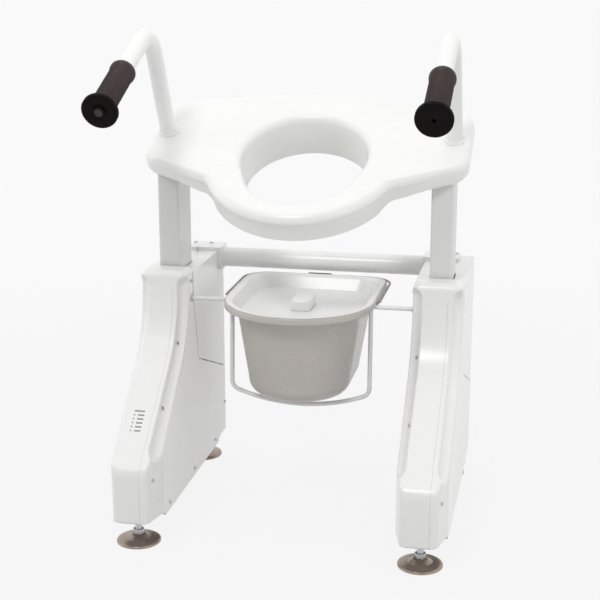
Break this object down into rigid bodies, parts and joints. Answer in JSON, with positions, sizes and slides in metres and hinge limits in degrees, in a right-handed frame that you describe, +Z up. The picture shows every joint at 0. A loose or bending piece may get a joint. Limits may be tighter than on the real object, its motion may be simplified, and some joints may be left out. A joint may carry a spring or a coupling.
{
  "type": "raised toilet seat",
  "caption": "Powered raised toilet seat that lifts and tilts forward on side posts, with arm rests, a thumb button and a lidded pail in a wire cradle.",
  "frame": {"origin": "middle of the whole object's outline on the floor under the foot pads", "axes": "+Z up, front of the seat towards -Y, +X towards the tower without the push button"},
  "size_m": [0.587, 0.5604, 0.8775],
  "materials": {
    "tower_white": "satin moulded",
    "frame_steel": "primed",
    "nylon": "moulded",
    "actuator_steel": "turned",
    "motor_black": "enamelled",
    "bar_white": "satin powder coat",
    "screw_steel": "plated",
    "box_grey": "moulded",
    "battery_dark": "moulded",
    "wire_white": "plastic dipped",
    "grommet_grey": "moulded",
    "foot_bronze": "moulded",
    "post_grey": "pale satin coat",
    "bracket_steel": "primed",
    "seat_white": "satin gloss",
    "arm_white": "gloss powder coat",
    "collar_white": "moulded",
    "grip_dark": "soft ribbed",
    "button_grey": "moulded",
    "pail_grey": "moulded",
    "lid_grey": "moulded",
    "bail_dark": "coated wire"
  },
  "bodies": {
    "base": {"left_front_cover": "tower_white", "right_front_cover": "tower_white", "left_rear_casing": "tower_white", "right_rear_casing": "tower_white", "left_base_frame": "frame_steel", "right_base_frame": "frame_steel", "left_glide_bushes": "nylon", "right_glide_bushes": "nylon", "left_lift_actuator": "actuator_steel", "right_lift_actuator": "actuator_steel", "left_lift_motor": "motor_black", "right_lift_motor": "motor_black", "left_bar_saddle": "bar_white", "right_bar_saddle": "bar_white", "cross_bar": "bar_white", "saddle_screws": "screw_steel", "cover_screws": "screw_steel", "control_box": "box_grey", "battery_pack": "battery_dark", "wire_cradle": "wire_white", "wire_grommets": "grommet_grey", "foot_nuts": "screw_steel"},
    "lift_frame": {"left_post": "post_grey", "right_post": "post_grey", "left_lift_rod": "actuator_steel", "right_lift_rod": "actuator_steel", "rod_nuts": "screw_steel", "left_tilt_actuator": "motor_black", "right_tilt_actuator": "motor_black", "hinge_pins": "screw_steel"},
    "tilt_rods": {"left_tilt_rod": "actuator_steel", "right_tilt_rod": "actuator_steel", "tilt_pins": "screw_steel"},
    "seat_frame": {"seat": "seat_white", "left_seat_bracket": "bracket_steel", "right_seat_bracket": "bracket_steel", "seat_screws": "screw_steel", "left_arm_tube": "arm_white", "right_arm_tube": "arm_white", "left_arm_collar": "collar_white", "right_arm_collar": "collar_white", "left_grip": "grip_dark", "right_grip": "grip_dark", "button_bezel": "grip_dark"},
    "button": {"lift_button": "button_grey"},
    "pail": {"pail": "pail_grey"},
    "lid": {"pail_lid": "lid_grey"},
    "bail": {"bail_wire": "bail_dark", "bail_grip": "bail_dark"},
    "front_left_foot": {"front_left_pad": "foot_bronze", "front_left_stud": "screw_steel"},
    "front_right_foot": {"front_right_pad": "foot_bronze", "front_right_stud": "screw_steel"},
    "rear_left_foot": {"rear_left_pad": "foot_bronze", "rear_left_stud": "screw_steel"},
    "rear_right_foot": {"rear_right_pad": "foot_bronze", "rear_right_stud": "screw_steel"}
  },
  "joints": [
    {"name": "lift", "type": "slide", "parent": "base", "child": "lift_frame", "axis": [0, 0, 1], "range_m": [-0.165, 0]},
    {"name": "tilt_drive", "type": "slide", "parent": "lift_frame", "child": "tilt_rods", "axis": [0, 0, 1], "range_m": [-0.0204, 0]},
    {"name": "seat_tilt", "type": "hinge", "parent": "lift_frame", "child": "seat_frame", "pos_m": [0, 0.05916, 0.613], "axis": [1, 0, 0], "range_deg": [-27, 0]},
    {"name": "button_press", "type": "slide", "parent": "seat_frame", "child": "button", "axis": [0, 0.9205, 0.3907], "range_m": [0, 0.002], "stiffness_N_per_m": 800},
    {"name": "pail_slide", "type": "slide", "parent": "base", "child": "pail", "axis": [0, -1, 0], "range_m": [0, 0.25]},
    {"name": "lid_lift", "type": "slide", "parent": "pail", "child": "lid", "axis": [0, 0, 1], "range_m": [0, 0.05]},
    {"name": "bail_swing", "type": "hinge", "parent": "pail", "child": "bail", "pos_m": [0, 0.03916, 0.3975], "axis": [1, 0, 0], "range_deg": [0, 70]},
    {"name": "front_left_level", "type": "slide", "parent": "base", "child": "front_left_foot", "axis": [0, 0, -1], "range_m": [0, 0.015]},
    {"name": "front_right_level", "type": "slide", "parent": "base", "child": "front_right_foot", "axis": [0, 0, -1], "range_m": [0, 0.015]},
    {"name": "rear_left_level", "type": "slide", "parent": "base", "child": "rear_left_foot", "axis": [0, 0, -1], "range_m": [0, 0.015]},
    {"name": "rear_right_level", "type": "slide", "parent": "base", "child": "rear_right_foot", "axis": [0, 0, -1], "range_m": [0, 0.015]}
  ],
  "couplings": [
    {"joint": "tilt_drive", "follows": "lift", "ratio": 0.12352},
    {"joint": "seat_tilt", "follows": "lift", "rad_per_m": 2.856}
  ]
}
